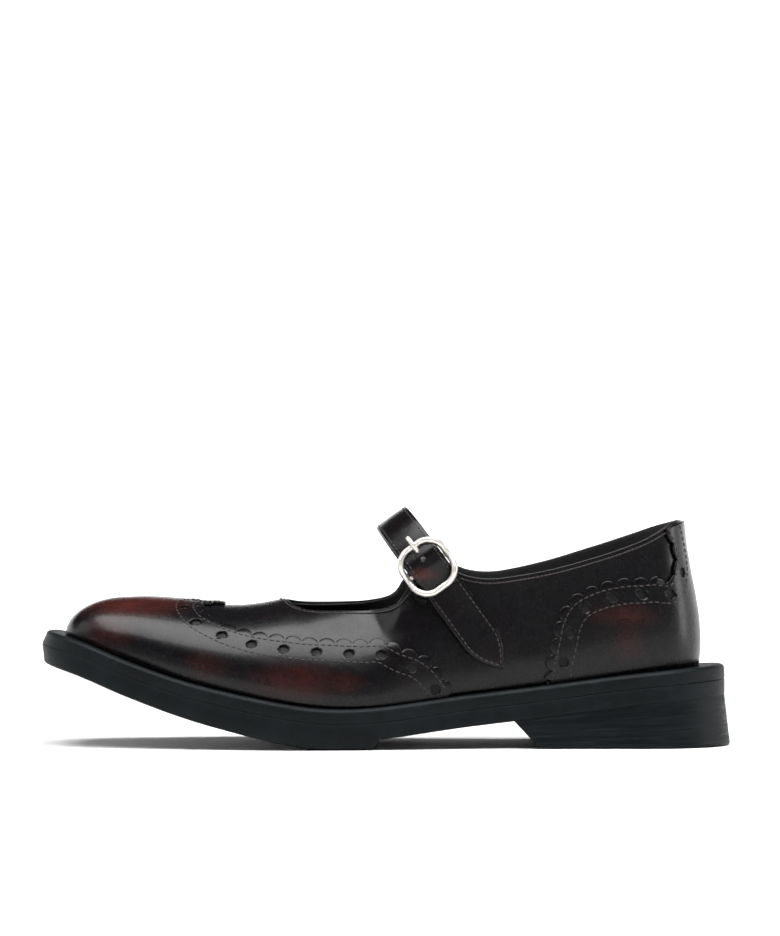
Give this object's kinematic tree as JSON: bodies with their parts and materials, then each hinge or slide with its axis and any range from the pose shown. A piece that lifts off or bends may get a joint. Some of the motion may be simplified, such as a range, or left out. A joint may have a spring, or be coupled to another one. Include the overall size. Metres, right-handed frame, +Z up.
{
  "type": "mary jane shoe",
  "caption": "Left mary jane shoe with a brogued wing cap, scalloped heel counter, buckled instep strap, wide low sole and stacked heel.",
  "frame": {"origin": "middle of the shoe's box, on the floor that it stands on", "axes": "+X from toe to heel, -Y the outer side with the buckle, +Z up"},
  "size_m": [0.2864, 0.0969, 0.0992],
  "materials": {
    "burnished_leather": "high shine, near black with oxblood burnishing",
    "sole_leather": "satin black, fine grain",
    "lining_leather": "matt black lining",
    "buckle_metal": "satin nickel"
  },
  "bodies": {
    "root": {"outsole": "sole_leather", "welt": "sole_leather", "heel": "sole_leather", "insole": "lining_leather", "upper": "burnished_leather", "wing_cap": "burnished_leather", "heel_counter": "burnished_leather", "strap": "burnished_leather", "buckle_frame": "buckle_metal", "buckle_prong": "buckle_metal"}
  },
  "joints": []
}
